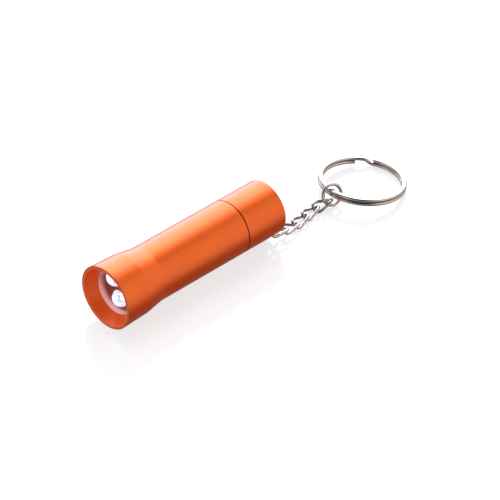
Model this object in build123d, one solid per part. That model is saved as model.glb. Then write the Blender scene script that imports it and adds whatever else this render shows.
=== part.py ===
from build123d import *
import math
import os

# Keychain flashlight: a turned aluminium torch with three LEDs, a screw-on tail cap with a push
# button, a short twisted curb chain and a split ring.
#
# Frame, millimetres: X is the torch's axis and +X is where the beam goes, +Z is up, and the origin
# is on the axis at the middle of the plain grip. The torch, chain and ring lie on one flat surface.

# ---- outside of the torch, front to back -------------------------------------------------------
lip_x = 30.0
head_end_x = 21.25
waist_x = 15.4
seam_x = -15.3
tail_x = -29.2
lip_r = 9.28
head_end_r = 8.92
grip_r = 8.0
seam_gap = 0.15
floor_z = -lip_r

# ---- inside of the barrel ----------------------------------------------------------------------
bezel_mouth_r = 8.35
bezel_throat_r = 6.5
bezel_depth = 3.34
main_bore_r = 6.5
thread_r = 7.0
thread_front_x = -8.8
seal_seat_r = 7.2
seal_seat_x = -13.3
edge_break = 0.12
rim_edge_break = 0.2

# ---- reflector and LEDs ------------------------------------------------------------------------
reflector_r = 6.45
reflector_front_x = 26.6
reflector_rear_x = 19.2
dish_floor_x = 24.6
dish_mouth_r = 6.3
dish_floor_r = 6.1
led_r = 2.5
led_tip_x = 26.4
led_base_x = 17.8
led_flange_r = 2.9
led_flange_length = 1.0
led_pitch_r = 3.5
led_angles = (20.0, 140.0, 260.0)
led_hole_r = 2.55
lead_width = 0.5
lead_half_pitch = 1.27
lead_rear_x = 15.9
lead_hole_r = 0.45

# ---- board, contact and cells ------------------------------------------------------------------
board_r = 6.4
board_front_x = 17.6
board_thickness = 1.0
contact_base_r = 1.8
contact_tip_r = 1.1
contact_foot = 0.4
cell_r = 5.8
cell_height = 5.4
cell_gap = 0.02
cell_count = 4
cell_stack_front_x = 15.4
cell_can_edge = 0.3
cell_cap_r = 4.9
cell_cap_rise = 0.35
sleeve_outer_r = 6.4
sleeve_inner_r = 5.9
sleeve_front_x = 16.45
sleeve_rear_x = -7.5

# ---- tail cap ----------------------------------------------------------------------------------
spigot_front_x = -9.3
spigot_r = 6.93
cap_bore_r = 5.2
partition_front_x = -23.3
partition_rear_x = -24.8
button_hole_r = 3.6
recess_r = 7.0
groove_r = 6.05
groove_front_x = -13.5
groove_rear_x = -14.7
seal_wire_r = 0.5
seal_r = 6.6
chain_hole_r = 1.3
chain_hole_x = -27.1
chain_hole_angle = -52.0

# ---- switch, button and battery spring ---------------------------------------------------------
inner_r = 5.1
locking_ring_front_x = -9.6
locking_ring_rear_x = -11.2
locking_ring_hole_r = 3.7
locking_slot_width = 1.0
locking_slot_depth = 0.8
terminal_r = 4.6
terminal_thickness = 0.5
housing_front_x = -11.7
housing_rear_x = -20.8
housing_cavity_r = 3.4
housing_cavity_front_x = -13.2
housing_cavity_rear_x = -19.8
plunger_hole_r = 1.58
plunger_r = 1.5
plunger_collar_r = 2.9
plunger_collar_front_x = -18.9
plunger_collar_rear_x = -19.7
plunger_nose_r = 1.1
plunger_nose_x = -17.4
button_flange_r = 4.6
button_flange_front_x = -22.4
button_flange_rear_x = -23.25
button_stem_r = 3.52
button_rear_x = -27.3
button_edge_r = 1.1
battery_spring_r = 3.0
battery_spring_wire_r = 0.3
battery_spring_turns = 4.5
battery_spring_front_x = -6.65
battery_spring_rear_x = -10.85
switch_spring_r = 1.9
switch_spring_wire_r = 0.2
switch_spring_turns = 6
switch_spring_front_x = -13.45
switch_spring_rear_x = -17.4

# ---- chain: five twisted curb links, then a round link -----------------------------------------
link_length = 6.1
link_half_width = 1.9
link_wire_r = 0.45
link_corner_r = 1.45
link_twist = 41.0
link_hook = 1.15
rim_middle_x = -28.35
rim_middle_r = 7.25
rim_to_link_end = 1.7
# Each link's heading left (+) or right of -X, its rise, and its roll about its own length.
link_headings = (0.0, 6.0, 12.0, 9.0, -10.0)
link_rises = (-17.0, -12.0, -1.8, -0.8, 8.0)
link_rolls = (-11.0, -6.0, -4.0, -3.0, -3.0)
jump_ring_centre = (-52.25, 3.0, -5.9)
jump_ring_r = 2.94
jump_ring_wire_r = 0.5
jump_ring_lean = 70.0
jump_ring_heading = 169.0

# ---- split ring: two turns of flattened wire with one step between them ------------------------
split_outer_r = 12.5
split_width = 1.45
split_layer = 1.0
split_layer_gap = 0.08
split_edge_r = 0.35
split_centre_x = -63.66
split_centre_y = 3.55
split_tilt = 7.36
split_step_angle = 222.0
split_step_span = 12.0
split_upper_tip_gap = 2.0
split_lower_tip_gap = 12.0
split_step_sections = 5


def turned(*outline):
    """A round piece: a closed outline of (x, radius) points, turned about the torch's axis."""
    profile = make_face(Polyline(*outline, close=True))
    return revolve(profile, Axis.X)


def rod(radius, x_low, x_high, y=0.0, z=0.0):
    """A round bar along X between two places on the axis."""
    bar = Rot(0, 90, 0) * Cylinder(radius, x_high - x_low)
    return Pos((x_low + x_high) / 2, y, z) * bar


def around(radius, angle):
    """The y and z of a point at an angle from +Y towards +Z, seen along the axis."""
    turn = math.radians(angle)
    return radius * math.cos(turn), radius * math.sin(turn)


def circles_at(solid, x, low_r, high_r):
    """The circular edges of a solid that lie in the plane of one x, between two radii."""
    edges = solid.edges().filter_by(GeomType.CIRCLE).filter_by_position(Axis.X, x - 0.01, x + 0.01)
    return edges.filter_by(lambda edge: low_r < edge.radius < high_r)


def coil(radius, wire_r, x_front, x_rear, turns):
    """A wound wire spring along X."""
    length = x_front - x_rear
    path = Helix(length / turns, length, radius)
    section = Plane(path @ 0, z_dir=path % 0) * Circle(wire_r)
    wound = sweep(section, path, is_frenet=True)
    return Pos(x_rear, 0, 0) * Rot(0, 90, 0) * wound


def build_barrel():
    """The one-piece body: tapered head with a bezel cone, waist, plain grip and threaded mouth."""
    body = turned(
        (lip_x, bezel_mouth_r),
        (lip_x, lip_r),
        (head_end_x, head_end_r),
        (waist_x, grip_r),
        (seam_x, grip_r),
        (seam_x, seal_seat_r),
        (seal_seat_x, seal_seat_r),
        (seal_seat_x, thread_r),
        (thread_front_x, thread_r),
        (thread_front_x, main_bore_r),
        (lip_x - bezel_depth, bezel_throat_r),
    )
    body = fillet(circles_at(body, lip_x, bezel_throat_r, lip_r + 1), edge_break)
    return chamfer(circles_at(body, seam_x, seal_seat_r + 0.1, grip_r + 1), edge_break)


def build_reflector():
    """A moulded carrier with a plated dish in front and three holes that hold the LEDs."""
    cup = turned(
        (reflector_rear_x, 0),
        (reflector_rear_x, reflector_r),
        (reflector_front_x, reflector_r),
        (reflector_front_x, dish_mouth_r),
        (dish_floor_x, dish_floor_r),
        (dish_floor_x, 0),
    )
    for angle in led_angles:
        y, z = around(led_pitch_r, angle)
        cup -= rod(led_hole_r, reflector_rear_x - 1, reflector_front_x + 1, y, z)
    return cup


def build_led(angle):
    """A round-nosed 5 mm LED with its base flange."""
    y, z = around(led_pitch_r, angle)
    dome_x = led_tip_x - led_r
    lamp = rod(led_r, led_base_x, dome_x, y, z) + Pos(dome_x, y, z) * Sphere(led_r)
    return lamp + rod(led_flange_r, led_base_x, led_base_x + led_flange_length, y, z)


def lead_places():
    """The y and z of the six LED leads, two either side of each LED's middle."""
    places = []
    for angle in led_angles:
        y, z = around(led_pitch_r, angle)
        for side in (-1, 1):
            dy, dz = around(side * lead_half_pitch, angle + 90)
            places.append((y + dy, z + dz))
    return places


def build_leads():
    """Six square LED leads that run through the board."""
    length = led_base_x - lead_rear_x
    middle = (led_base_x + lead_rear_x) / 2
    leads = [Pos(middle, y, z) * Box(length, lead_width, lead_width) for y, z in lead_places()]
    return Compound(children=leads)


def build_board():
    """The round circuit board that the LEDs are soldered to."""
    rear_x = board_front_x - board_thickness
    board = rod(board_r, rear_x, board_front_x)
    for y, z in lead_places():
        board -= rod(lead_hole_r, rear_x - 1, board_front_x + 1, y, z)
    return board


def build_front_contact():
    """The pressed brass contact between the board and the first cell."""
    board_rear_x = board_front_x - board_thickness
    return turned(
        (cell_stack_front_x, 0),
        (cell_stack_front_x, contact_tip_r),
        (board_rear_x - contact_foot, contact_tip_r + 0.2),
        (board_rear_x - contact_foot, contact_base_r),
        (board_rear_x, contact_base_r),
        (board_rear_x, 0),
    )


def build_sleeve():
    """The insulating tube round the cells."""
    return rod(sleeve_outer_r, sleeve_rear_x, sleeve_front_x) - rod(
        sleeve_inner_r, sleeve_rear_x - 1, sleeve_front_x + 1
    )


def build_cell(index):
    """One alkaline button cell: the can faces forwards, the smaller cap backwards."""
    front = cell_stack_front_x - index * (cell_height + cell_gap)
    rear = front - cell_height
    return turned(
        (front, 0),
        (front, cell_r - cell_can_edge),
        (front - cell_can_edge, cell_r),
        (rear + cell_cap_rise, cell_r),
        (rear + cell_cap_rise, cell_cap_r),
        (rear, cell_cap_r - cell_can_edge),
        (rear, 0),
    )


def build_tail_cap():
    """The screw-on cap: spigot, bore for the switch, button hole, rear recess and chain hole."""
    cap = turned(
        (spigot_front_x, cap_bore_r),
        (spigot_front_x, spigot_r),
        (groove_front_x, spigot_r),
        (groove_front_x, groove_r),
        (groove_rear_x, groove_r),
        (groove_rear_x, spigot_r),
        (seam_x - seam_gap, spigot_r),
        (seam_x - seam_gap, grip_r),
        (tail_x, grip_r),
        (tail_x, recess_r),
        (partition_rear_x, recess_r),
        (partition_rear_x, button_hole_r),
        (partition_front_x, button_hole_r),
        (partition_front_x, cap_bore_r),
    )
    cap = fillet(circles_at(cap, tail_x, recess_r - 1, grip_r + 1), rim_edge_break)
    cap = chamfer(circles_at(cap, seam_x - seam_gap, grip_r - 0.1, grip_r + 1), edge_break)
    y, z = around(grip_r, chain_hole_angle)
    outward = Plane((chain_hole_x, y, z), x_dir=(1, 0, 0), z_dir=(0, y, z))
    return cap - outward * Cylinder(chain_hole_r, 2 * (grip_r - recess_r) + 2)


def build_tail_seal():
    """The rubber ring that seals the cap in the barrel's mouth."""
    middle = (groove_front_x + groove_rear_x) / 2
    return Pos(middle, 0, 0) * Rot(0, 90, 0) * Torus(seal_r, seal_wire_r)


def build_locking_ring():
    """The slotted ring that holds the switch in the cap."""
    ring = rod(inner_r, locking_ring_rear_x, locking_ring_front_x)
    ring -= rod(locking_ring_hole_r, locking_ring_rear_x - 1, locking_ring_front_x + 1)
    slot = Box(2 * locking_slot_depth, 2 * inner_r + 1, locking_slot_width)
    return ring - Pos(locking_ring_front_x, 0, 0) * slot


def build_switch_terminal():
    """The brass plate on the front of the switch that the battery spring stands on."""
    return rod(terminal_r, housing_front_x, housing_front_x + terminal_thickness - 0.02)


def build_switch_housing():
    """The moulded switch body, hollow for the plunger and its spring."""
    housing = rod(inner_r, housing_rear_x, housing_front_x)
    housing -= rod(housing_cavity_r, housing_cavity_rear_x, housing_cavity_front_x)
    return housing - rod(plunger_hole_r, housing_rear_x - 1, housing_cavity_rear_x + 1)


def build_plunger():
    """The sliding pin of the switch: stem, collar that keeps it in, and spring nose."""
    return turned(
        (button_flange_front_x, 0),
        (button_flange_front_x, plunger_r),
        (plunger_collar_rear_x, plunger_r),
        (plunger_collar_rear_x, plunger_collar_r),
        (plunger_collar_front_x, plunger_collar_r),
        (plunger_collar_front_x, plunger_nose_r),
        (plunger_nose_x, plunger_nose_r),
        (plunger_nose_x, 0),
    )


def build_button():
    """The push button: a round-topped stem through the partition and a flange in front of it."""
    button = turned(
        (button_flange_front_x, 0),
        (button_flange_front_x, button_flange_r),
        (button_flange_rear_x, button_flange_r),
        (button_flange_rear_x, button_stem_r),
        (button_rear_x, button_stem_r),
        (button_rear_x, 0),
    )
    return fillet(circles_at(button, button_rear_x, 1, button_stem_r + 1), button_edge_r)


def link_direction(index):
    """The direction in which one chain link runs, away from the torch."""
    heading = math.radians(link_headings[index])
    rise = math.radians(link_rises[index])
    level = math.cos(rise)
    return Vector(-level * math.cos(heading), -level * math.sin(heading), math.sin(rise))


def link_across(index, twist):
    """The direction across one end of a link, from its far leg to its near leg."""
    direction = link_direction(index)
    near = direction.cross(Vector(0, 0, 1)).normalized()
    above = near.cross(direction).normalized()
    angle = math.radians(link_rolls[index] + twist)
    return near * math.cos(angle) + above * math.sin(angle)


def link_centres():
    """Where each link's middle is: the first one round the cap's rim, the next hooked on it."""
    rim_middle = Vector(rim_middle_x, *around(rim_middle_r, chain_hole_angle))
    rear_tip = rim_middle - link_direction(0) * rim_to_link_end
    centres = []
    for index in range(len(link_headings)):
        direction = link_direction(index)
        centre = rear_tip + direction * (link_length / 2)
        centres.append(centre)
        if index + 1 < len(link_headings):
            between = (direction + link_direction(index + 1)).normalized()
            front_tip = centre + direction * (link_length / 2)
            rear_tip = front_tip - between * link_hook
    return centres


def link_path(index):
    """The line that one link's wire follows: its front end is twisted against its rear end."""
    centre = link_centres()[index]
    along = link_direction(index) * (link_length / 2)
    rear = link_across(index, -link_twist) * link_half_width
    front = link_across(index, link_twist) * link_half_width
    corners = (
        centre - along - rear,
        centre - along + rear,
        centre + along + front,
        centre + along - front,
    )
    return FilletPolyline(*corners, radius=link_corner_r, close=True)


def build_link(index):
    """One curb link of round wire, made stretch by stretch."""
    stretches = [
        sweep(Plane(edge @ 0, z_dir=edge % 0) * Circle(link_wire_r), edge)
        for edge in link_path(index).edges()
    ]
    return stretches[0] + stretches[1:]


def build_jump_ring():
    """The round link between the chain and the split ring."""
    return jump_ring_plane() * Torus(jump_ring_r, jump_ring_wire_r)


def jump_ring_plane():
    """The plane the round link lies in."""
    heading = math.radians(jump_ring_heading)
    lean = math.radians(jump_ring_lean)
    level = Vector(math.cos(heading), math.sin(heading), 0)
    side = Vector(-level.Y, level.X, 0)
    upwards = Vector(0, 0, 1) * math.sin(lean) + side * math.cos(lean)
    return Plane(Vector(*jump_ring_centre), x_dir=level, z_dir=level.cross(upwards))


def split_ring_plane():
    """The plane of the split ring's lower face, raised on the side towards the chain."""
    rise = math.radians(split_tilt)
    centre_z = floor_z + split_outer_r * math.sin(rise)
    side = Vector(math.cos(rise), 0, math.sin(rise))
    return Plane(
        (split_centre_x, split_centre_y, centre_z), x_dir=side, z_dir=side.cross(Vector(0, 1, 0))
    )


def split_section(height):
    """The flattened wire's section at one height, in the plane through the ring's axis."""
    middle = split_outer_r - split_width / 2
    outline = RectangleRounded(split_width, split_layer, split_edge_r)
    return Pos(middle, height, 0) * outline


def build_split_ring():
    """Two nearly full turns of flattened wire, one above the other, joined by a short step."""
    low = split_layer / 2
    high = low + split_layer + split_layer_gap
    upper_turn = 360 - split_step_span - split_upper_tip_gap
    lower_turn = 360 - split_step_span - split_lower_tip_gap
    upper_end = Rot(90, 0, 0) * split_section(high)
    lower_end = Rot(0, 0, -split_step_span) * Rot(90, 0, 0) * split_section(low)
    upper = revolve(upper_end, Axis.Z, upper_turn)
    lower = revolve(lower_end, Axis.Z, -lower_turn)
    sections = []
    for index in range(split_step_sections):
        share = index / (split_step_sections - 1)
        smooth = share * share * (3 - 2 * share)
        height = high + (low - high) * smooth
        sections.append(Rot(0, 0, -split_step_span * share) * Rot(90, 0, 0) * split_section(height))
    step = loft(sections, ruled=True)
    return split_ring_plane() * Rot(0, 0, split_step_angle) * (upper + step + lower)


def build_parts():
    """Every piece by name."""
    parts = {
        "barrel": build_barrel(),
        "reflector_cup": build_reflector(),
        "led_leads": build_leads(),
        "circuit_board": build_board(),
        "front_contact": build_front_contact(),
        "cell_sleeve": build_sleeve(),
        "tail_cap": build_tail_cap(),
        "tail_seal": build_tail_seal(),
        "locking_ring": build_locking_ring(),
        "switch_terminal": build_switch_terminal(),
        "switch_housing": build_switch_housing(),
        "switch_plunger": build_plunger(),
        "push_button": build_button(),
        "battery_spring": coil(
            battery_spring_r,
            battery_spring_wire_r,
            battery_spring_front_x,
            battery_spring_rear_x,
            battery_spring_turns,
        ),
        "switch_spring": coil(
            switch_spring_r,
            switch_spring_wire_r,
            switch_spring_front_x,
            switch_spring_rear_x,
            switch_spring_turns,
        ),
        "jump_ring": build_jump_ring(),
        "split_ring": build_split_ring(),
    }
    for index, angle in enumerate(led_angles):
        parts[f"led_{index + 1}"] = build_led(angle)
    for index in range(cell_count):
        parts[f"button_cell_{index + 1}"] = build_cell(index)
    for index in range(len(link_headings)):
        parts[f"chain_link_{index + 1}"] = build_link(index)
    return parts


os.makedirs("parts", exist_ok=True)
for node, shape in build_parts().items():
    export_step(shape, f"parts/{node}.step")
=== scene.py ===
import math

import bpy
from mathutils import Matrix, Vector


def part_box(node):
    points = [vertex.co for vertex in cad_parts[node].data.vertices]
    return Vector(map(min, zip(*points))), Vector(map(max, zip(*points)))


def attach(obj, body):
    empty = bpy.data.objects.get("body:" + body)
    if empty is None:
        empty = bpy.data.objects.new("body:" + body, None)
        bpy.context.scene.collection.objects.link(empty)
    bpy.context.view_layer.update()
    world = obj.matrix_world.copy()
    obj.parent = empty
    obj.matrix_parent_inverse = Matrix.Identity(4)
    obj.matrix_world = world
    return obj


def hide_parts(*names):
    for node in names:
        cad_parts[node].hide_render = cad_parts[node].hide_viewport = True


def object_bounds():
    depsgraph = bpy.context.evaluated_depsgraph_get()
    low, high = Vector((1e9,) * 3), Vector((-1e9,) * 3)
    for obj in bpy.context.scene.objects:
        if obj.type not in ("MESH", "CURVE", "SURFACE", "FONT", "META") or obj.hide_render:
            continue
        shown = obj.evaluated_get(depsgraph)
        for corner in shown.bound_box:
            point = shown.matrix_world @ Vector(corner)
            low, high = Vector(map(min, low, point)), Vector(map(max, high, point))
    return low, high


# Keychain flashlight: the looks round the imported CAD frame.
#
# Shapes are written in millimetres, in the frame's own axes, and become metres when a mesh is made:
# +X is where the beam goes, +Z is up, and the origin is on the torch's axis at the middle of the grip.

MM = 0.001

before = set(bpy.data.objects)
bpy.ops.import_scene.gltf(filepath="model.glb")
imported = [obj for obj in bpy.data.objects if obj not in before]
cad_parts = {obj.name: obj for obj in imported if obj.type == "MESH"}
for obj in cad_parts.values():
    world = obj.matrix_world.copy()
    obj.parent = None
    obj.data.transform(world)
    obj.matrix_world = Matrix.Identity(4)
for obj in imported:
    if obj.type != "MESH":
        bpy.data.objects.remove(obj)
cad_low, cad_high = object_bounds()


# ---- places read from the frame ----------------------------------------------------------------
def box_mm(node):
    """A CAD node's lowest and highest corners in millimetres."""
    low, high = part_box(node)
    return low / MM, high / MM


barrel_low, barrel_high = box_mm("barrel")
cap_low, cap_high = box_mm("tail_cap")
cup_low, cup_high = box_mm("reflector_cup")
button_low, button_high = box_mm("push_button")

lip_x = barrel_high.x
lip_r = barrel_high.z
seam_x = barrel_low.x
spigot_front_x = cap_high.x
tail_x = cap_low.x
grip_r = cap_high.z
floor_z = cad_low.z / MM

# ---- torch, millimetres ------------------------------------------------------------------------
head_end_x = 21.25
head_end_r = 8.92
waist_x = 15.4
seam_gap = 0.15
bezel_mouth_r = 8.35
bezel_throat_r = 6.5
bezel_depth = 3.34
bezel_finish_r = 8.62
main_bore_r = 6.5
thread_r = 7.0
thread_front_x = -8.8
seal_seat_r = 7.2
seal_seat_x = -13.3
thread_pitch = 1.0
thread_depth = 0.5
thread_relief = 0.35
thread_runout = 0.3
thread_flank_slope = 1.7
thread_root_flat = 0.35
spigot_r = 6.93
cap_bore_r = 5.2
partition_front_x = -23.3
partition_rear_x = -24.8
button_hole_r = 3.6
button_stem_r = 3.52
button_flange_rear_x = -23.25
button_edge_r = 0.9
button_dish_r = 2.2
button_dish_depth = 0.4
recess_r = 7.0
groove_r = 6.05
groove_front_x = -13.5
groove_rear_x = -14.7
chain_hole_r = 1.3
chain_hole_x = -27.1
chain_hole_angle = math.radians(-52.0)
chain_hole_flare = 0.06
dish_floor_x = 24.6
dish_mouth_r = 6.3
dish_floor_r = 6.1
dish_shade_depth = 1.1
led_hole_r = 2.55
led_hole_flare = 0.2
cell_seal_inner_r = 4.92
cell_seal_outer_r = 5.22

# ---- LEDs, millimetres -------------------------------------------------------------------------
led_names = ("led_1", "led_2", "led_3")
led_r = 2.5
led_flange_r = 2.9
led_flange_length = 1.0
led_flange_chamfer = 0.1
chip_cup_behind_dome = 0.4
chip_cup_r = 0.95
chip_cup_mouth_r = 0.82
chip_cup_floor_r = 0.45
chip_cup_depth = 0.35
chip_stem_r = 0.28
bond_post_r = 0.25
bond_post_head_r = 0.32
bond_post_offset = 1.35
post_foot = 0.3

# ---- chain and rings, millimetres and degrees --------------------------------------------------
link_length = 6.1
link_half_width = 1.9
link_wire_r = 0.45
link_corner_r = 1.45
link_twist = 41.0
link_hook = 1.15
rim_middle_x = -28.35
rim_middle_r = 7.25
rim_to_link_end = 1.7
# For each link from the cap on: its turn away from the torch's axis, its rise and its roll.
link_headings = (0.0, 6.0, 12.0, 9.0, -10.0)
link_rises = (-17.0, -12.0, -1.8, -0.8, 8.0)
link_rolls = (-11.0, -6.0, -4.0, -3.0, -3.0)
jump_ring_centre = Vector((-52.25, 3.0, -5.9))
jump_ring_r = 2.94
jump_ring_wire_r = 0.5
jump_ring_lean = math.radians(70.0)
jump_ring_heading = math.radians(169.0)
jump_ring_joint_angle = math.radians(250.0)
wire_joint_gap = 0.05
split_outer_r = 12.5
split_width = 1.45
split_layer = 1.0
split_layer_gap = 0.08
split_edge_r = 0.48
split_centre = Vector((-63.66, 3.55, 0.0))
split_tilt = math.radians(7.36)
split_step_angle = 222.0
split_step_span = 12.0
split_upper_tip_gap = 2.0
split_lower_tip_gap = 12.0

# ---- camera ------------------------------------------------------------------------------------
camera_azimuth = math.radians(135.66)
camera_elevation = math.radians(36.37)
camera_distance = 0.8371
camera_target = Vector((-0.00247, 0.02126, 0.01017))
camera_lens = 229.0


# ---- shapes ------------------------------------------------------------------------------------
def rounded(corners, closed=True, arc_step=math.radians(15)):
    """The line through corners of (point, radius), with an arc at each corner that has a radius."""
    points = [Vector(point) for point, _ in corners]
    line = []
    for index, (_, radius) in enumerate(corners):
        corner = points[index]
        at_end = not closed and index in (0, len(corners) - 1)
        if radius == 0 or at_end:
            line.append(corner)
            continue
        back = (points[index - 1] - corner).normalized()
        ahead = (points[(index + 1) % len(points)] - corner).normalized()
        half = back.angle(ahead) / 2
        centre = corner + (back + ahead).normalized() * (radius / math.sin(half))
        first = corner + back * (radius / math.tan(half)) - centre
        last = corner + ahead * (radius / math.tan(half)) - centre
        turn = math.pi - 2 * half
        steps = max(2, math.ceil(turn / arc_step))
        for step in range(steps + 1):
            share = step / steps
            part = first * math.sin((1 - share) * turn) + last * math.sin(share * turn)
            line.append(centre + part / math.sin(turn))
    return line


def spaced(line, longest, closed=True):
    """The same line with points added, so that none are further apart than longest."""
    result = []
    last = len(line) if closed else len(line) - 1
    for index in range(last):
        start = line[index]
        end = line[(index + 1) % len(line)]
        steps = max(1, math.ceil((end - start).length / longest))
        result += [start.lerp(end, step / steps) for step in range(steps)]
    return result if closed else result + [line[-1]]


def grid_faces(rows, columns, rows_closed):
    """The four-sided faces between rows of points, where each row closes on itself."""
    faces = []
    for row in range(rows if rows_closed else rows - 1):
        above = (row + 1) % rows
        for column in range(columns):
            beside = (column + 1) % columns
            faces.append(
                (
                    row * columns + column,
                    row * columns + beside,
                    above * columns + beside,
                    above * columns + column,
                )
            )
    return faces


def build(name, points, faces, slot, body, replaced=(), crease=35.0):
    """A finished piece from points in millimetres: smooth, with its material, riding on its body."""
    mesh = bpy.data.meshes.new(name)
    mesh.from_pydata([point * MM for point in points], [], faces)
    mesh.validate()
    piece = bpy.data.objects.new(name, mesh)
    bpy.context.scene.collection.objects.link(piece)
    dress(piece, slot, body, replaced, crease)
    return piece


def dress(piece, slot, body, replaced=(), crease=35.0):
    """Gives a piece smooth shading, its material, its body and the CAD nodes it stands for."""
    mesh = piece.data
    mesh.polygons.foreach_set("use_smooth", [True] * len(mesh.polygons))
    mesh.set_sharp_from_angle(angle=math.radians(crease))
    mesh.materials.clear()
    mesh.materials.append(finishes[slot])
    even = piece.modifiers.new("even_shading", "WEIGHTED_NORMAL")
    even.keep_sharp = True
    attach(piece, body)
    if replaced:
        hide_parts(*replaced)


def turned_mesh(outline, columns=144, axis=(0.0, 0.0), reshape=None):
    """The points and faces of an outline of (x, radius), turned about a line along X.
    An outline that starts and ends on the line is a solid of its own, and any other is a ring."""
    solid = outline[0].y == 0 and outline[-1].y == 0
    rows = outline[1:-1] if solid else outline
    points = []
    for row in rows:
        for column in range(columns):
            angle = 2 * math.pi * column / columns
            radius = row.y + (reshape(row.x, row.y, angle) if reshape else 0)
            offset = Vector((0, math.cos(angle), math.sin(angle))) * radius
            points.append(Vector((row.x, *axis)) + offset)
    faces = grid_faces(len(rows), columns, not solid)
    if solid:
        points += [Vector((outline[0].x, *axis)), Vector((outline[-1].x, *axis))]
        first, last = len(points) - 2, len(points) - 1
        top = (len(rows) - 1) * columns
        for column in range(columns):
            beside = (column + 1) % columns
            faces.append((first, beside, column))
            faces.append((last, top + column, top + beside))
    return points, faces


def lathed(corners, longest=None, **options):
    """The points and faces of a turned shape, from its outline's corners of (x, radius, corner
    radius). Where longest is given, no two points of the outline are further apart than it."""
    outline = rounded([((x, radius), corner) for x, radius, corner in corners])
    if longest:
        solid = corners[0][1] == 0 and corners[-1][1] == 0
        outline = spaced(outline, longest, closed=not solid)
    return turned_mesh(outline, **options)


def turned(name, corners, slot, body, replaced=(), longest=0.5, **options):
    """A turned piece from the (x, radius, corner radius) of its outline's corners."""
    points, faces = lathed(corners, longest, **options)
    return build(name, points, faces, slot, body, replaced)


def swept(name, line, outs, section, slot, body, replaced=(), closed=False, tip=0.06):
    """A section of (out, up) points carried along a line. outs are the outward directions, one for
    each point of the line. An open sweep ends in flat tips with a small chamfer."""
    count = len(line)
    rows = []
    for index in range(count):
        after = line[(index + 1) % count] if closed or index + 1 < count else line[index]
        before = line[index - 1] if closed or index > 0 else line[index]
        ahead = (after - before).normalized()
        out = (outs[index] - ahead * outs[index].dot(ahead)).normalized()
        up = ahead.cross(out)
        rows.append([line[index] + out * a + up * b for a, b in section])
    if not closed:
        rows = [chamfer_tip(rows[0], line[0] - line[1], tip), *rows]
        rows.append(chamfer_tip(rows[-1], line[-1] - line[-2], tip))
    columns = len(section)
    points = [point for row in rows for point in row]
    faces = grid_faces(len(rows), columns, closed)
    if not closed:
        faces.append(tuple(reversed(range(columns))))
        faces.append(tuple(range((len(rows) - 1) * columns, len(rows) * columns)))
    return build(name, points, faces, slot, body, replaced, crease=50.0)


def chamfer_tip(row, outward, size):
    """A row of points moved out along the wire by size and drawn in towards their middle."""
    middle = sum(row, Vector()) / len(row)
    return [
        point + outward.normalized() * size + (middle - point).normalized() * size for point in row
    ]


def circle_section(radius, sides=20):
    """A round wire's section."""
    turns = [2 * math.pi * side / sides for side in range(sides)]
    return [(radius * math.cos(turn), radius * math.sin(turn)) for turn in turns]


def cut(piece, cutter):
    """Takes the cutter's shape out of a piece's mesh, and removes the cutter."""
    difference = piece.modifiers.new("cut", "BOOLEAN")
    difference.object = cutter
    difference.operation = "DIFFERENCE"
    difference.solver = "EXACT"
    bpy.context.view_layer.update()
    graph = bpy.context.evaluated_depsgraph_get()
    mesh = bpy.data.meshes.new_from_object(piece.evaluated_get(graph))
    piece.modifiers.remove(difference)
    piece.data = mesh
    bpy.data.objects.remove(cutter)


def plain_object(name, points, faces, matrix=None):
    """An object with no material that only serves to cut another."""
    mesh = bpy.data.meshes.new(name)
    mesh.from_pydata([point * MM for point in points], [], faces)
    if matrix:
        mesh.transform(matrix)
    piece = bpy.data.objects.new(name, mesh)
    bpy.context.scene.collection.objects.link(piece)
    return piece


# ---- nodes of the procedural materials ---------------------------------------------------------
def add(tree, kind, inputs=None, **settings):
    """A shader node with its settings, and with its inputs set or linked."""
    made = tree.nodes.new(kind)
    for name, value in settings.items():
        setattr(made, name, value)
    for name, value in (inputs or {}).items():
        if isinstance(value, bpy.types.NodeSocket):
            tree.links.new(value, made.inputs[name])
        else:
            made.inputs[name].default_value = value
    return made


def maths(tree, operation, first, second=0.0):
    """One sum of two numbers."""
    return add(tree, "ShaderNodeMath", {0: first, 1: second}, operation=operation).outputs[0]


def place_mm(tree):
    """Where a point is on its piece at rest, in millimetres of the frame."""
    rest = add(tree, "ShaderNodeTexCoord").outputs["Object"]
    scaled = add(tree, "ShaderNodeVectorMath", {0: rest, "Scale": 1 / MM}, operation="SCALE")
    return scaled.outputs[0]


def noise(tree, place, per_mm, detail=2.0, rough=0.5):
    """Smooth noise with so many waves to the millimetre."""
    inputs = {"Vector": place, "Scale": per_mm, "Detail": detail, "Roughness": rough}
    return add(tree, "ShaderNodeTexNoise", inputs).outputs["Fac"]


def stretched(tree, place, x, y, z):
    """A place with its axes stretched by different amounts, for marks that run one way."""
    return add(
        tree, "ShaderNodeVectorMath", {0: place, 1: (x, y, z)}, operation="MULTIPLY"
    ).outputs[0]


def spread(tree, value, low, high, to_low, to_high):
    """A value from low to high becomes one from to_low to to_high, smoothly and within them."""
    inputs = {0: value, 1: low, 2: high, 3: to_low, 4: to_high}
    made = add(tree, "ShaderNodeMapRange", inputs, interpolation_type="SMOOTHSTEP")
    return made.outputs[0]


def mixed(tree, share, low, high):
    """A colour between two, by share."""
    made = add(tree, "ShaderNodeMix", data_type="RGBA")
    for index, value in ((0, share), (6, low), (7, high)):
        if isinstance(value, bpy.types.NodeSocket):
            tree.links.new(value, made.inputs[index])
        else:
            made.inputs[index].default_value = value
    return made.outputs[2]


def bumped(tree, height, depth_mm, under=None):
    """A normal pushed about by a height from 0 to 1, over a depth in millimetres."""
    inputs = {"Height": height, "Distance": depth_mm * MM, "Strength": 1.0}
    if under:
        inputs["Normal"] = under
    return add(tree, "ShaderNodeBump", inputs).outputs["Normal"]


def distance_from_axis(tree, place):
    """How far a point is from the torch's axis, in millimetres."""
    flat = stretched(tree, place, 0.0, 1.0, 1.0)
    return add(tree, "ShaderNodeVectorMath", {0: flat}, operation="LENGTH").outputs["Value"]


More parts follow.
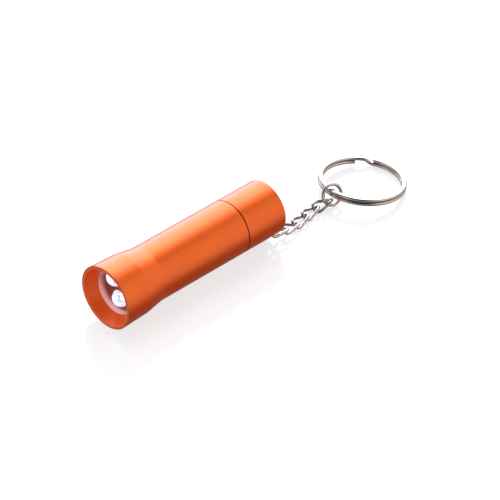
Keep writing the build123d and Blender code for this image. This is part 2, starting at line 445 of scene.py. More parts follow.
def along_axis(tree, place):
    """How far along the torch's axis a point is, in millimetres."""
    return add(tree, "ShaderNodeSeparateXYZ", {0: place}).outputs["X"]


def near_circle(tree, place, x, radius, width):
    """1 on a circle round the torch's axis and 0 at width from it, for wear along a round edge."""
    dx = maths(tree, "SUBTRACT", along_axis(tree, place), x)
    dr = maths(tree, "SUBTRACT", distance_from_axis(tree, place), radius)
    square = maths(tree, "ADD", maths(tree, "MULTIPLY", dx, dx), maths(tree, "MULTIPLY", dr, dr))
    return spread(tree, maths(tree, "SQRT", square), 0.0, width, 1.0, 0.0)


def rgb(red, green, blue):
    """A colour in linear light, with its alpha."""
    return (red, green, blue, 1.0)


def material(name, **constants):
    """A material with one Principled shader, and its tree and shader."""
    made = bpy.data.materials.new(name)
    made.use_nodes = True
    shader = made.node_tree.nodes["Principled BSDF"]
    for socket, value in constants.items():
        shader.inputs[socket.replace("_", " ")].default_value = value
    return made, made.node_tree, shader


def feed(tree, shader, **sockets):
    """Links values worked out by nodes to the shader's sockets."""
    for socket, value in sockets.items():
        tree.links.new(value, shader.inputs[socket.replace("_", " ")])


# ---- materials ---------------------------------------------------------------------------------
def worn_and_highlit_edges(tree, place):
    """How pale the torch's turned edges are, from 0 to 1 and in patches: worn dye and a painted
    highlight along the lip and the tail's rim, and only a painted highlight along the head's crease.
    """
    edges = (
        (lip_x, lip_r, 0.22, 1.0),
        # The head's crease has no wear: its pale line is a painted highlight.
        (head_end_x, head_end_r, 0.16, 0.35),
        (tail_x, grip_r, 0.25, 1.0),
    )
    wear = 0.0
    for x, radius, width, most in edges:
        edge = maths(tree, "MULTIPLY", near_circle(tree, place, x, radius, width), most)
        wear = maths(tree, "MAXIMUM", wear, edge)
    scuffs = spread(tree, noise(tree, place, 1.3, detail=4.0, rough=0.7), 0.42, 0.68, 0.15, 0.85)
    return maths(tree, "MULTIPLY", wear, scuffs)


def inside_bezel(tree, place):
    """1 on the bezel's cone and 0 on the outside of the torch."""
    within = maths(tree, "LESS_THAN", distance_from_axis(tree, place), bezel_finish_r)
    ahead = maths(tree, "GREATER_THAN", along_axis(tree, place), head_end_x)
    return maths(tree, "MULTIPLY", within, ahead)


def anodised_orange():
    """Fine-blasted aluminium with an orange dye under a clear oxide skin, worn pale on its edges, where
    a painted highlight also runs, and with painted shade darkening the seam. The bezel's cone is duller
    than the outside, and its orange is painted a little brighter, as painted light."""
    made, tree, shader = material(
        "anodised_orange",
        Coat_Weight=1.0,
        Coat_Roughness=0.2,
        Coat_IOR=1.34,
        Specular_Tint=rgb(1.0, 0.62, 0.50),
    )
    place = place_mm(tree)
    grain = noise(tree, place, 9.0, detail=3.0, rough=0.6)
    patches = noise(tree, place, 0.22, detail=2.0)
    tool_marks = noise(tree, stretched(tree, place, 14.0, 0.25, 0.25), 1.0, detail=2.0)
    dyed = mixed(tree, patches, rgb(0.78, 0.110, 0.002), rgb(0.84, 0.130, 0.004))
    speckled = mixed(tree, spread(tree, grain, 0.35, 0.75, 0.0, 0.5), dyed, rgb(0.70, 0.085, 0.003))
    # Wear and painted highlight: the edges are mixed towards a pale orange.
    colour = mixed(tree, worn_and_highlit_edges(tree, place), speckled, rgb(0.93, 0.46, 0.26))
    # Painted shade: a dark line in the seam between barrel and cap.
    painted_seam_shade = near_circle(tree, place, seam_x - seam_gap / 2, grip_r - 0.1, 0.3)
    colour = mixed(tree, painted_seam_shade, colour, rgb(0.10, 0.018, 0.008))
    dull = maths(tree, "ADD", maths(tree, "MULTIPLY", grain, 0.07), 0.335)
    marked = maths(tree, "ADD", dull, maths(tree, "MULTIPLY", tool_marks, 0.03))
    inside = inside_bezel(tree, place)
    roughness = maths(tree, "ADD", marked, maths(tree, "MULTIPLY", inside, 0.15))
    # Painted light: the bezel's cone gets a brighter orange, as if lit.
    colour = mixed(tree, inside, colour, rgb(0.98, 0.135, 0.020))
    normal = bumped(tree, tool_marks, 0.0012, under=bumped(tree, grain, 0.0035))
    metal = maths(tree, "SUBTRACT", 1.0, maths(tree, "MULTIPLY", inside, 0.45))
    feed(tree, shader, Base_Color=colour, Metallic=metal, Roughness=roughness, Normal=normal)
    return made


def nickel_plate():
    """Bright nickel over steel, with fine handling scratches and a slight warm bloom."""
    made, tree, shader = material("nickel_plate", Metallic=1.0)
    place = place_mm(tree)
    bloom = noise(tree, place, 0.9, detail=3.0)
    scratches = noise(tree, stretched(tree, place, 2.0, 2.0, 17.0), 1.4, detail=4.0, rough=0.7)
    colour = mixed(tree, bloom, rgb(0.50, 0.455, 0.395), rgb(0.58, 0.53, 0.465))
    roughness = spread(tree, scratches, 0.3, 0.75, 0.04, 0.12)
    normal = bumped(tree, scratches, 0.002, under=bumped(tree, noise(tree, place, 3.0), 0.004))
    feed(tree, shader, Base_Color=colour, Roughness=roughness, Normal=normal)
    return made


def plated_reflector():
    """Plated plastic with the bezel's orange reflection painted into its colour: a satin salmon wall, a
    painted highlight on the rim and a painted dark reflection on the floor.
    """
    made, tree, shader = material("plated_reflector", Metallic=0.6)
    place = place_mm(tree)
    ripple = noise(tree, place, 1.6, detail=1.0)
    haze = noise(tree, place, 0.7, detail=4.0)
    # Painted reflection: the wall's salmon colour stands for the bezel's orange seen in the plating.
    wall = mixed(tree, haze, rgb(0.98, 0.50, 0.44), rgb(1.0, 0.58, 0.52))
    shade_end_x = dish_floor_x + dish_shade_depth
    # Painted dark reflection: the dish darkens towards its floor.
    painted_floor_reflection = spread(tree, along_axis(tree, place), dish_floor_x, shade_end_x, 1.0, 0.0)
    # Painted highlight: a bright line round the dish's rim.
    rim = near_circle(tree, place, cup_high.x, dish_mouth_r, 0.22)
    bright = mixed(tree, rim, wall, rgb(1.0, 0.88, 0.84))
    colour = mixed(tree, painted_floor_reflection, bright, rgb(0.30, 0.06, 0.04))
    roughness = spread(tree, haze, 0.3, 0.7, 0.30, 0.38)
    normal = bumped(tree, ripple, 0.005)
    feed(tree, shader, Base_Color=colour, Roughness=roughness, Normal=normal)
    return made


def clear_led():
    """Clear cast epoxy, water-white, with faint flow lines, a painted faint glow, and painted blue
    reflections of its insides in patches.
    """
    made, tree, shader = material(
        "clear_led",
        Transmission_Weight=0.55,
        IOR=1.5,
        # A painted glow: the lens gives off a faint light of its own.
        Emission_Color=rgb(0.85, 0.90, 1.0),
        Emission_Strength=0.30,
    )
    place = place_mm(tree)
    flow = noise(tree, place, 0.8, detail=2.0)
    roughness = spread(tree, flow, 0.3, 0.7, 0.015, 0.06)
    # Painted reflection: blue patches where the lens's insides would show through it.
    painted_refraction_noise = noise(tree, place, 1.3, detail=2.0, rough=0.6)
    patches = spread(tree, painted_refraction_noise, 0.50, 0.62, 0.0, 1.0)
    colour = mixed(tree, patches, rgb(0.95, 0.97, 1.0), rgb(0.34, 0.42, 0.68))
    feed(tree, shader, Base_Color=colour, Roughness=roughness, Normal=bumped(tree, flow, 0.01))
    return made


def led_phosphor():
    """The pale yellow-white phosphor over the chip, with a painted glow of its own."""
    # A painted glow: the phosphor gives off light though the torch is off.
    made, tree, shader = material(
        "led_phosphor", Emission_Color=rgb(0.88, 0.94, 1.0), Emission_Strength=1.2
    )
    grains = noise(tree, place_mm(tree), 14.0, detail=3.0)
    colour = mixed(tree, grains, rgb(0.95, 0.93, 0.80), rgb(0.98, 0.97, 0.90))
    feed(tree, shader, Base_Color=colour, Roughness=spread(tree, grains, 0.3, 0.7, 0.5, 0.8))
    return made


def tinned_lead():
    """Hot-dipped tin: bright grey with soft ripples."""
    made, tree, shader = material("tinned_lead", Metallic=1.0)
    place = place_mm(tree)
    ripples = noise(tree, place, 2.4, detail=3.0)
    colour = mixed(tree, ripples, rgb(0.62, 0.62, 0.60), rgb(0.78, 0.78, 0.76))
    roughness = spread(tree, ripples, 0.3, 0.7, 0.18, 0.38)
    feed(tree, shader, Base_Color=colour, Roughness=roughness, Normal=bumped(tree, ripples, 0.02))
    return made


def board_laminate():
    """Green solder mask over glass weave, with the weave just showing."""
    made, tree, shader = material("board_laminate", Coat_Weight=0.3, Coat_Roughness=0.15)
    place = place_mm(tree)
    weave = add(tree, "ShaderNodeTexChecker", {"Vector": place, "Scale": 2.6}).outputs["Fac"]
    mottle = noise(tree, place, 1.2, detail=3.0)
    mask = mixed(tree, mottle, rgb(0.010, 0.085, 0.028), rgb(0.022, 0.130, 0.045))
    colour = mixed(tree, maths(tree, "MULTIPLY", weave, 0.25), mask, rgb(0.035, 0.17, 0.06))
    roughness = spread(tree, mottle, 0.3, 0.7, 0.30, 0.45)
    feed(tree, shader, Base_Color=colour, Roughness=roughness, Normal=bumped(tree, weave, 0.004))
    return made


def contact_brass():
    """Pressed brass, a little tarnished."""
    made, tree, shader = material("contact_brass", Metallic=1.0)
    place = place_mm(tree)
    tarnish = noise(tree, place, 0.9, detail=4.0, rough=0.65)
    lines = noise(tree, stretched(tree, place, 0.6, 12.0, 1.0), 1.0, detail=3.0)
    colour = mixed(tree, tarnish, rgb(0.83, 0.60, 0.27), rgb(0.56, 0.36, 0.14))
    roughness = spread(tree, tarnish, 0.3, 0.7, 0.20, 0.42)
    feed(tree, shader, Base_Color=colour, Roughness=roughness, Normal=bumped(tree, lines, 0.003))
    return made


def sleeve_plastic():
    """Thin ivory insulating tube, slightly see-through, with drawn lines along it."""
    made, tree, shader = material(
        "sleeve_plastic", Subsurface_Weight=0.2, Subsurface_Scale=0.5 * MM
    )
    place = place_mm(tree)
    lines = noise(tree, stretched(tree, place, 0.15, 3.0, 3.0), 1.0, detail=3.0)
    colour = mixed(tree, lines, rgb(0.72, 0.69, 0.60), rgb(0.80, 0.78, 0.71))
    roughness = spread(tree, lines, 0.3, 0.7, 0.38, 0.55)
    feed(tree, shader, Base_Color=colour, Roughness=roughness, Normal=bumped(tree, lines, 0.01))
    return made


def cell_steel():
    """Bright drawn steel can, with a dark seal ring between the can and its cap."""
    made, tree, shader = material("cell_steel")
    place = place_mm(tree)
    facing = add(tree, "ShaderNodeTexCoord").outputs["Normal"]
    rearward = maths(tree, "LESS_THAN", along_axis(tree, facing), -0.5)
    radius = distance_from_axis(tree, place)
    beyond = maths(tree, "GREATER_THAN", radius, cell_seal_inner_r)
    within = maths(tree, "LESS_THAN", radius, cell_seal_outer_r)
    seal = maths(tree, "MULTIPLY", maths(tree, "MULTIPLY", beyond, within), rearward)
    brushed = noise(tree, stretched(tree, place, 9.0, 0.6, 0.6), 1.0, detail=4.0, rough=0.65)
    steel = mixed(tree, brushed, rgb(0.55, 0.55, 0.54), rgb(0.72, 0.71, 0.69))
    colour = mixed(tree, seal, steel, rgb(0.03, 0.03, 0.035))
    metal = maths(tree, "SUBTRACT", 1.0, seal)
    roughness = maths(tree, "ADD", spread(tree, brushed, 0.3, 0.7, 0.18, 0.34), seal)
    normal = bumped(tree, brushed, 0.003)
    feed(tree, shader, Base_Color=colour, Metallic=metal, Roughness=roughness, Normal=normal)
    return made


def seal_rubber():
    """Black nitrile rubber with a dull, lightly greased skin."""
    made, tree, shader = material("seal_rubber", Specular_IOR_Level=0.4)
    place = place_mm(tree)
    skin = noise(tree, place, 5.0, detail=4.0, rough=0.6)
    colour = mixed(tree, skin, rgb(0.012, 0.012, 0.013), rgb(0.030, 0.029, 0.029))
    roughness = spread(tree, skin, 0.3, 0.7, 0.42, 0.65)
    feed(tree, shader, Base_Color=colour, Roughness=roughness, Normal=bumped(tree, skin, 0.006))
    return made


def plain_aluminium():
    """Bare turned aluminium, with the lathe's rings on its faces."""
    made, tree, shader = material("plain_aluminium", Metallic=1.0)
    place = place_mm(tree)
    outward = maths(tree, "MULTIPLY", distance_from_axis(tree, place), 9.0)
    lathe_marks = add(tree, "ShaderNodeTexNoise", {"W": outward}, noise_dimensions="1D")
    rings = lathe_marks.outputs["Fac"]
    colour = mixed(tree, rings, rgb(0.74, 0.74, 0.75), rgb(0.88, 0.88, 0.89))
    roughness = spread(tree, rings, 0.3, 0.7, 0.22, 0.40)
    feed(tree, shader, Base_Color=colour, Roughness=roughness, Normal=bumped(tree, rings, 0.006))
    return made


def switch_plastic():
    """Black moulded nylon with a fine spark-eroded texture."""
    made, tree, shader = material("switch_plastic")
    place = place_mm(tree)
    texture = noise(tree, place, 6.5, detail=3.0, rough=0.6)
    colour = mixed(tree, texture, rgb(0.018, 0.018, 0.020), rgb(0.036, 0.036, 0.038))
    roughness = spread(tree, texture, 0.3, 0.7, 0.40, 0.58)
    feed(tree, shader, Base_Color=colour, Roughness=roughness, Normal=bumped(tree, texture, 0.008))
    return made


def button_rubber():
    """Dark grey silicone with a matt moulded skin and a little dust in it."""
    made, tree, shader = material(
        "button_rubber", Sheen_Weight=0.15, Sheen_Roughness=0.5, Specular_IOR_Level=0.35
    )
    place = place_mm(tree)
    skin = noise(tree, place, 7.0, detail=4.0, rough=0.6)
    dust = spread(tree, noise(tree, place, 1.1, detail=5.0, rough=0.7), 0.55, 0.8, 0.0, 0.25)
    rubber = mixed(tree, skin, rgb(0.020, 0.020, 0.022), rgb(0.040, 0.040, 0.042))
    colour = mixed(tree, dust, rubber, rgb(0.16, 0.155, 0.15))
    roughness = spread(tree, skin, 0.3, 0.7, 0.55, 0.75)
    feed(tree, shader, Base_Color=colour, Roughness=roughness, Normal=bumped(tree, skin, 0.008))
    return made


def spring_steel():
    """Drawn spring wire: dark bright steel with die lines."""
    made, tree, shader = material("spring_steel", Metallic=1.0)
    place = place_mm(tree)
    lines = noise(tree, stretched(tree, place, 8.0, 1.0, 1.0), 1.5, detail=3.0)
    colour = mixed(tree, lines, rgb(0.50, 0.50, 0.51), rgb(0.68, 0.68, 0.68))
    roughness = spread(tree, lines, 0.3, 0.7, 0.20, 0.34)
    feed(tree, shader, Base_Color=colour, Roughness=roughness, Normal=bumped(tree, lines, 0.003))
    return made


finishes = {
    "anodised_orange": anodised_orange(),
    "nickel_plate": nickel_plate(),
    "plated_reflector": plated_reflector(),
    "clear_led": clear_led(),
    "tinned_lead": tinned_lead(),
    "board_laminate": board_laminate(),
    "contact_brass": contact_brass(),
    "sleeve_plastic": sleeve_plastic(),
    "cell_steel": cell_steel(),
    "seal_rubber": seal_rubber(),
    "plain_aluminium": plain_aluminium(),
    "switch_plastic": switch_plastic(),
    "button_rubber": button_rubber(),
    "spring_steel": spring_steel(),
}
phosphor = led_phosphor()

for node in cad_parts.values():
    for material_slot in node.material_slots:
        material_slot.material = finishes[material_slot.material.name]


# ---- torch -------------------------------------------------------------------------------------
def thread_wave(x, angle):
    """From 0 at the thread's root to 1 at its crest, right-handed as seen from the tail."""
    turns = (x / thread_pitch - angle / (2 * math.pi)) % 1.0
    flank = abs(turns * 2 - 1) * thread_flank_slope - thread_root_flat
    return min(1.0, max(0.0, flank))


def window(x, low, high, fade):
    """1 between two places on the axis, fading to 0 just outside them."""
    rising = min(1.0, max(0.0, (x - low) / fade + 1))
    falling = min(1.0, max(0.0, (high - x) / fade + 1))
    return rising * falling


def build_barrel():
    """The one-piece body: tapered head with a bezel cone, waist, plain grip and a plain mouth bored to
    the thread's size.
    """
    return turned(
        "barrel_body",
        (
            (lip_x, bezel_mouth_r, 0.12),
            (lip_x, lip_r, 0.12),
            (head_end_x, head_end_r, 0.06),
            (waist_x, grip_r, 0.25),
            (seam_x, grip_r, 0.18),
            (seam_x, seal_seat_r, 0.08),
            (seal_seat_x, seal_seat_r, 0.05),
            (seal_seat_x, thread_r, 0.05),
            (thread_front_x, thread_r, 0.05),
            (thread_front_x, main_bore_r, 0.05),
            (lip_x - bezel_depth, bezel_throat_r, 0.1),
        ),
        "anodised_orange",
        "torch",
        ("barrel",),
    )


def build_tail_cap():
    """The screw-on cap: threaded spigot, seal groove, switch bore, tail recess and chain hole."""
    thread_low = groove_front_x + thread_relief
    thread_high = spigot_front_x - thread_relief

    def thread_cut(x, radius, angle):
        on_spigot = math.isclose(radius, spigot_r, abs_tol=0.05)
        if not on_spigot or not groove_front_x < x < spigot_front_x:
            return 0.0
        depth = thread_depth * window(x, thread_low, thread_high, thread_runout)
        return -depth * (1 - thread_wave(x, angle))

    corners = (
        (spigot_front_x, cap_bore_r, 0.08),
        (spigot_front_x, spigot_r, 0.2),
        (groove_front_x, spigot_r, 0.06),
        (groove_front_x, groove_r, 0.15),
        (groove_rear_x, groove_r, 0.15),
        (groove_rear_x, spigot_r, 0.06),
        (seam_x - seam_gap, spigot_r, 0.08),
        (seam_x - seam_gap, grip_r, 0.18),
        (tail_x, grip_r, 0.22),
        (tail_x, recess_r, 0.15),
        (partition_rear_x, recess_r, 0.15),
        (partition_rear_x, button_hole_r, 0.12),
        (partition_front_x, button_hole_r, 0.06),
        (partition_front_x, cap_bore_r, 0.1),
    )
    points, faces = lathed(corners, longest=0.12, reshape=thread_cut)
    cap = plain_object("tail_cap_body", points, faces)
    cut(cap, chain_hole_cutter())
    dress(cap, "anodised_orange", "cap", ("tail_cap",))
    return cap


def chain_hole_cutter():
    """A spool along the chain hole, wider at the wall's two faces, which takes off the hole's edges."""
    half_wall = (grip_r - recess_r) / 2
    half_length = half_wall + 0.6
    end_r = chain_hole_r + 0.65
    inner_half = (
        (-half_length, 0, 0),
        (-half_length, end_r, 0),
        (-half_wall, chain_hole_r + chain_hole_flare, 0.3),
        (-half_wall + 0.3, chain_hole_r, 0.2),
    )
    outer_half = tuple((-x, radius, corner) for x, radius, corner in reversed(inner_half))
    points, faces = lathed(inner_half + outer_half, longest=0.2, columns=48)
    y = math.cos(chain_hole_angle)
    z = math.sin(chain_hole_angle)
    outward = Vector((0, y, z))
    middle = Vector((chain_hole_x, 0, 0)) + outward * (grip_r + recess_r) / 2
    turn = Vector((1, 0, 0)).rotation_difference(outward).to_matrix().to_4x4()
    return plain_object("chain_hole", points, faces, Matrix.Translation(middle * MM) @ turn)


def build_reflector():
    """The plated dish with its three LED holes."""
    corners = (
        (cup_low.x, 0, 0),
        (cup_low.x, cup_high.z, 0.1),
        (cup_high.x, cup_high.z, 0.06),
        (cup_high.x, dish_mouth_r, 0.07),
        (dish_floor_x, dish_floor_r, 0.5),
        (dish_floor_x, 0, 0),
    )
    points, faces = lathed(corners, longest=0.3, columns=120)
    cup = plain_object("reflector_dish", points, faces)
    for name in led_names:
        cut(cup, led_hole_cutter(name))
    dress(cup, "plated_reflector", "torch", ("reflector_cup",))
    return cup


def led_axis(name):
    """The y and z of an LED's middle."""
    low, high = box_mm(name)
    return (low.y + high.y) / 2, (low.z + high.z) / 2


def led_hole_cutter(name):
    """A bar the size of an LED hole, flared where it meets the dish's floor."""
    rear_x = cup_low.x - 1
    front_x = dish_floor_x + 0.2
    flared_r = led_hole_r + led_hole_flare
    corners = (
        (rear_x, 0, 0),
        (rear_x, led_hole_r, 0),
        (dish_floor_x - 0.12, led_hole_r, 0.05),
        (dish_floor_x + 0.08, flared_r, 0),
        (front_x, flared_r, 0),
        (front_x, 0, 0),
    )
    points, faces = lathed(corners, columns=64, axis=led_axis(name))
    return plain_object("led_hole", points, faces)


def build_lens(name):
    """The cast lens of one LED: a flange, a barrel and a round nose."""
    low, high = box_mm(name)
    dome_x = high.x - led_r
    flange_x = low.x + led_flange_length
    outline = [
        (low.x, 0),
        (low.x, led_flange_r - led_flange_chamfer),
        (low.x + led_flange_chamfer, led_flange_r),
        (flange_x, led_flange_r),
        (flange_x, led_r),
    ]
    dome_steps = 14
    for step in range(dome_steps):
        angle = math.pi / 2 * step / dome_steps
        outline.append((dome_x + led_r * math.sin(angle), led_r * math.cos(angle)))
    outline.append((high.x, 0))
    line = spaced([Vector(point) for point in outline], 0.5, closed=False)
    points, faces = turned_mesh(line, columns=64, axis=led_axis(name))
    build(f"{name}_lens", points, faces, "clear_led", "torch", (name,))


def build_chip_cup(name, foot_x, cup_x):
    """The post inside an LED that ends in the little cup that holds the chip."""
    corners = (
        (foot_x, 0, 0),
        (foot_x, chip_stem_r, 0.05),
        (cup_x - 0.9, chip_stem_r, 0.1),
        (cup_x - 0.7, 0.75, 0.1),
        (cup_x, chip_cup_r, 0.05),
        (cup_x, chip_cup_mouth_r, 0.03),
        (cup_x - chip_cup_depth, chip_cup_floor_r, 0.05),
        (cup_x - chip_cup_depth, 0, 0),
    )
    axis = led_axis(name)
    turned(
        f"{name}_chip_cup", corners, "tinned_lead", "torch", longest=None, columns=40, axis=axis
    )


def build_bond_post(name, foot_x, cup_x):
    """The other post inside an LED, on the side that faces the torch's axis."""
    head_x = cup_x - 0.1
    corners = (
        (foot_x, 0, 0),
        (foot_x, bond_post_r, 0.05),
        (head_x, bond_post_head_r, 0.08),
        (head_x, 0, 0),
    )
    middle = Vector(led_axis(name))
    axis = tuple(middle - middle.normalized() * bond_post_offset)
    turned(
        f"{name}_bond_post", corners, "tinned_lead", "torch", longest=None, columns=24, axis=axis
    )


def build_phosphor(name, cup_x):
    """The bead of phosphor that fills the chip's cup and stands a little out of it."""
    corners = (
        (cup_x - 0.33, 0, 0),
        (cup_x - 0.33, 0.42, 0.02),
        (cup_x - 0.05, 0.78, 0.05),
        (cup_x + 0.12, 0.45, 0.2),
        (cup_x + 0.16, 0, 0),
    )
    axis = led_axis(name)
    bead = turned(
        f"{name}_phosphor", corners, "clear_led", "torch", longest=None, columns=40, axis=axis
    )
    bead.data.materials[0] = phosphor


def build_led(name):
    """One LED: the cast lens, and inside it the chip's cup, the other post and the phosphor."""
    low, high = box_mm(name)
    foot_x = low.x + post_foot
    cup_x = high.x - led_r - chip_cup_behind_dome
    build_lens(name)
    build_chip_cup(name, foot_x, cup_x)
    build_bond_post(name, foot_x, cup_x)
    build_phosphor(name, cup_x)


def build_button():
    """The rubber push button, with a shallow finger dish in its end."""
    finger_dish_x = button_low.x + button_dish_depth
    return turned(
        "push_button_rubber",
        (
            (button_high.x, 0, 0),
            (button_high.x, button_high.z, 0.1),
            (button_flange_rear_x, button_high.z, 0.1),
            (button_flange_rear_x, button_stem_r, 0.1),
            (button_low.x, button_stem_r, button_edge_r),
            (button_low.x + 0.02, button_dish_r, 0.3),
            (finger_dish_x - 0.05, 1.2, 0.8),
            (finger_dish_x, 0, 0),
        ),
        "button_rubber",
        "button",
        ("push_button",),
        longest=0.25,
        columns=96,
    )


# ---- chain and rings ---------------------------------------------------------------------------
def link_direction(index):
    """The direction in which one chain link runs, away from the torch."""
    heading = math.radians(link_headings[index])
    rise = math.radians(link_rises[index])
    level = math.cos(rise)
    return Vector((-level * math.cos(heading), -level * math.sin(heading), math.sin(rise)))


def link_across(index, twist):
    """The direction across one end of a link, from its far leg to its near leg."""
    direction = link_direction(index)
    near = direction.cross(Vector((0, 0, 1))).normalized()
    above = near.cross(direction).normalized()
    angle = math.radians(link_rolls[index] + twist)
    return near * math.cos(angle) + above * math.sin(angle)


def link_centres():
    """Where each link's middle is: the first one round the cap's rim, the next hooked on it."""
    y = rim_middle_r * math.cos(chain_hole_angle)
    z = rim_middle_r * math.sin(chain_hole_angle)
    rear_tip = Vector((rim_middle_x, y, z)) - link_direction(0) * rim_to_link_end
    centres = []
    for index in range(len(link_headings)):
        direction = link_direction(index)
        centre = rear_tip + direction * (link_length / 2)
        centres.append(centre)
        if index + 1 < len(link_headings):
            between = (direction + link_direction(index + 1)).normalized()
            rear_tip = centre + direction * (link_length / 2) - between * link_hook
    return centres


def build_link(index):
    """One curb link of round wire, bent from one length with a butt joint in its longer leg."""
    centre = link_centres()[index]
    along = link_direction(index) * (link_length / 2)
    rear = link_across(index, -link_twist) * link_half_width
    front = link_across(index, link_twist) * link_half_width
    joint = centre + (rear + front) / 2
    leg = (along * 2 + front - rear).normalized()
    corners = (
        (joint + leg * (wire_joint_gap / 2), 0),
        (centre + along + front, link_corner_r),
        (centre + along - front, link_corner_r),
        (centre - along - rear, link_corner_r),
        (centre - along + rear, link_corner_r),
        (joint - leg * (wire_joint_gap / 2), 0),
    )
    line = spaced(rounded(corners, closed=False, arc_step=math.radians(9)), 0.4, closed=False)
    outs = [point - centre for point in line]
    name = f"chain_link_{index + 1}"
    section = circle_section(link_wire_r)
    tip = wire_joint_gap
    return swept(
        f"{name}_wire", line, outs, section, "nickel_plate", f"link_{index + 1}", (name,), tip=tip
    )


def build_jump_ring():
    """The round link between the chain and the split ring, with its butt joint."""
    level = Vector((math.cos(jump_ring_heading), math.sin(jump_ring_heading), 0))
    side = Vector((-level.y, level.x, 0))
    upwards = Vector((0, 0, 1)) * math.sin(jump_ring_lean) + side * math.cos(jump_ring_lean)
    steps = 96
    gap = wire_joint_gap / jump_ring_r
    line = []
    for step in range(steps + 1):
        angle = jump_ring_joint_angle + gap / 2 + (2 * math.pi - gap) * step / steps
        line.append(
            jump_ring_centre
            + (level * math.cos(angle) + upwards * math.sin(angle)) * jump_ring_r
        )
    outs = [point - jump_ring_centre for point in line]
    section = circle_section(jump_ring_wire_r, sides=24)
    return swept(
        "jump_ring_wire", line, outs, section, "nickel_plate", "round_link", ("jump_ring",), tip=0.04
    )


def build_split_ring():
    """Two nearly full turns of flattened wire, one above the other, joined by a short step."""
    side = Vector((math.cos(split_tilt), 0, math.sin(split_tilt)))
    across = Vector((0, 1, 0))
    normal = side.cross(across)
    centre = split_centre.copy()
    centre.z = floor_z + split_outer_r * math.sin(split_tilt)
    middle_r = split_outer_r - split_width / 2
    low = split_layer / 2
    high = low + split_layer + split_layer_gap
    first = split_step_angle + 360 - split_step_span - split_upper_tip_gap
    last = split_step_angle - 360 + split_lower_tip_gap
    step_degrees = 2.0
    count = round((first - last) / step_degrees)
    line = []
    outs = []
    for index in range(count + 1):
        degrees = first + (last - first) * index / count
        share = min(1.0, max(0.0, (split_step_angle - degrees) / split_step_span))
        height = high + (low - high) * share * share * (3 - 2 * share)
        angle = math.radians(degrees)
        out = side * math.cos(angle) + across * math.sin(angle)
        line.append(centre + out * middle_r + normal * height)
        outs.append(out)
    half_width = split_width / 2
    half_layer = split_layer / 2
    sides = ((1, -1), (1, 1), (-1, 1), (-1, -1))
    corners = [((half_width * outer, half_layer * upper), split_edge_r) for outer, upper in sides]
    section = [tuple(point) for point in rounded(corners)]
    return swept(
        "split_ring_wire", line, outs, section, "nickel_plate", "key_ring", ("split_ring",)
    )


build_barrel()
build_tail_cap()
build_reflector()
for led_name in led_names:
    build_led(led_name)
build_button()
for link_index in range(len(link_headings)):
    build_link(link_index)
build_jump_ring()
build_split_ring()


# ---- stage -------------------------------------------------------------------------------------
def build_floor():
    """A wide pale tabletop with a faint polish."""
    half = 4.0
    gap = 0.00002
    z = floor_z * MM - gap
    corners = [(-half, -half, z), (half, -half, z), (half, half, z), (-half, half, z)]
    mesh = bpy.data.meshes.new("tabletop")
    mesh.from_pydata(corners, [], [(0, 1, 2, 3)])
    floor = bpy.data.objects.new("tabletop", mesh)
    bpy.context.scene.collection.objects.link(floor)
    made, tree, shader = material(
        "pale_tabletop",
        Specular_IOR_Level=0.5,
        Emission_Color=rgb(1.0, 1.0, 1.0),
        Emission_Strength=0.72,
    )
    soft = noise(tree, place_mm(tree), 0.02, detail=2.0)
    feed(
        tree,
        shader,
        Base_Color=mixed(tree, soft, rgb(0.21, 0.21, 0.21), rgb(0.23, 0.23, 0.23)),
        Roughness=spread(tree, soft, 0.3, 0.7, 0.10, 0.14),
    )
    mesh.materials.append(made)
    floor.visible_glossy = False
    floor.visible_diffuse = False


# The light from all round, as soft round cards that add to the base or take from it: the direction
# to a card's middle, its inner and outer angle in degrees, and how much it adds.
studio_base = 0.60
studio_cards = (
    # A large window high beyond the torch, brightest in its middle.
    ((-0.563, -0.65, 0.52), 21.0, 51.0, 2.75),
    ((-0.563, -0.66, 0.52), 5.0, 32.0, 0.30),
    # The dark edge between that window and the card at the tail's side.
    ((-0.563, 0.32, 0.76), 3.0, 14.0, -0.28),
    # The far part of the table.
    ((-0.45, -0.68, -0.58), 12.0, 40.0, -0.22),
    # A broad card at the tail's side.
    ((-0.56, 0.75, 0.30), 15.0, 60.0, 0.48),
    # The unlit ceiling over the viewer, and the viewer.
    ((0.35, 0.30, 0.87), 22.0, 50.0, -0.56),
    ((0.563, 0.576, 0.593), 15.0, 34.0, -0.30),
    # The near part of the table, and the table straight below.
    ((0.57, 0.57, -0.593), 20.0, 55.0, -0.20),
    ((0.0, 0.25, -0.97), 20.0, 80.0, -0.25),
    # A weak card in front of the torch's head.
    ((1.0, -0.10, 0.10), 10.0, 36.0, 0.35),
)
# Colours of light: cool from the window, and warm where the torch lights the table beside it.
studio_tints = (
    ((-0.563, -0.65, 0.52), 21.0, 55.0, rgb(1.0, 0.99, 1.42)),
    ((-0.56, 0.20, -0.80), 12.0, 46.0, rgb(1.0, 0.52, 0.36)),
)
studio_darkest = 0.02


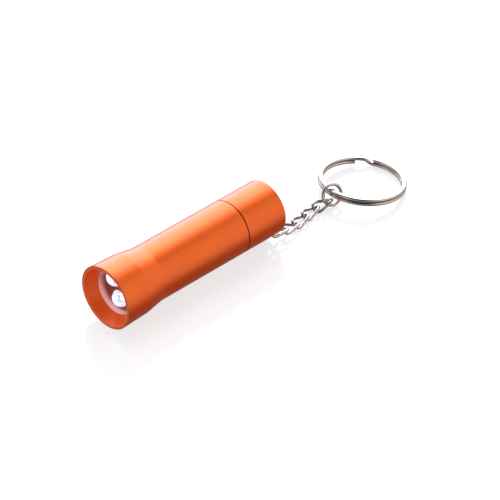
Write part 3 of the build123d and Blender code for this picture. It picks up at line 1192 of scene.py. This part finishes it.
def build_studio():
    """The light round the object, made of the base and the cards. The camera sees plain white."""
    world = bpy.data.worlds.new("studio")
    world.use_nodes = True
    tree = world.node_tree
    tree.nodes.clear()
    toward = add(tree, "ShaderNodeTexCoord").outputs["Generated"]

    def patch(direction, inner, outer, most):
        aim = tuple(Vector(direction).normalized())
        cosine = add(tree, "ShaderNodeVectorMath", {0: toward, 1: aim}, operation="DOT_PRODUCT")
        low = math.cos(math.radians(outer))
        high = math.cos(math.radians(inner))
        return spread(tree, cosine.outputs["Value"], low, high, 0.0, most)

    total = studio_base
    for card in studio_cards:
        total = maths(tree, "ADD", patch(*card), total)
    lit = maths(tree, "MAXIMUM", total, studio_darkest)
    colour = rgb(1.0, 1.0, 1.0)
    for direction, inner, outer, tint in studio_tints:
        colour = mixed(tree, patch(direction, inner, outer, 1.0), colour, tint)
    light = add(tree, "ShaderNodeBackground", {"Color": colour, "Strength": lit})
    seen = add(tree, "ShaderNodeBackground", {"Color": rgb(1.0, 1.0, 1.0), "Strength": 1.0})
    by_camera = add(tree, "ShaderNodeLightPath").outputs["Is Camera Ray"]
    choice = {0: by_camera, 1: light.outputs[0], 2: seen.outputs[0]}
    either = add(tree, "ShaderNodeMixShader", choice)
    add(tree, "ShaderNodeOutputWorld", {"Surface": either.outputs[0]})
    bpy.context.scene.world = world


def softbox(name, direction, distance, size, watts):
    """A square lamp that faces the object, in metres and watts, and isn't seen itself."""
    lamp = bpy.data.lights.new(name, "AREA")
    lamp.shape = "SQUARE"
    lamp.size = size
    lamp.energy = watts
    holder = bpy.data.objects.new(name, lamp)
    aim = Vector(direction).normalized()
    holder.location = camera_target + aim * distance
    holder.rotation_mode = "QUATERNION"
    holder.rotation_quaternion = aim.to_track_quat("Z", "Y")
    holder.visible_camera = False
    holder.visible_glossy = False
    bpy.context.scene.collection.objects.link(holder)


def build_camera():
    """The camera, at the viewing angle of a person looking down at the torch's head."""
    data = bpy.data.cameras.new("camera")
    data.lens = camera_lens
    data.sensor_width = 36.0
    data.clip_start = 0.01
    data.clip_end = 20.0
    camera = bpy.data.objects.new("camera", data)
    level = math.cos(camera_elevation)
    back = Vector(
        (
            math.sin(camera_azimuth) * level,
            -math.cos(camera_azimuth) * level,
            math.sin(camera_elevation),
        )
    )
    camera.location = camera_target + back * camera_distance
    camera.rotation_mode = "QUATERNION"
    camera.rotation_quaternion = back.to_track_quat("Z", "Y")
    bpy.context.scene.collection.objects.link(camera)
    bpy.context.scene.camera = camera


build_floor()
build_studio()
softbox("overhead_softbox", (-0.15, -0.25, 0.95), distance=1.2, size=1.0, watts=3.0)
softbox("front_fill", (0.95, 0.15, 0.30), distance=0.5, size=0.25, watts=1.3)
build_camera()
bpy.context.scene.view_settings.view_transform = "Standard"
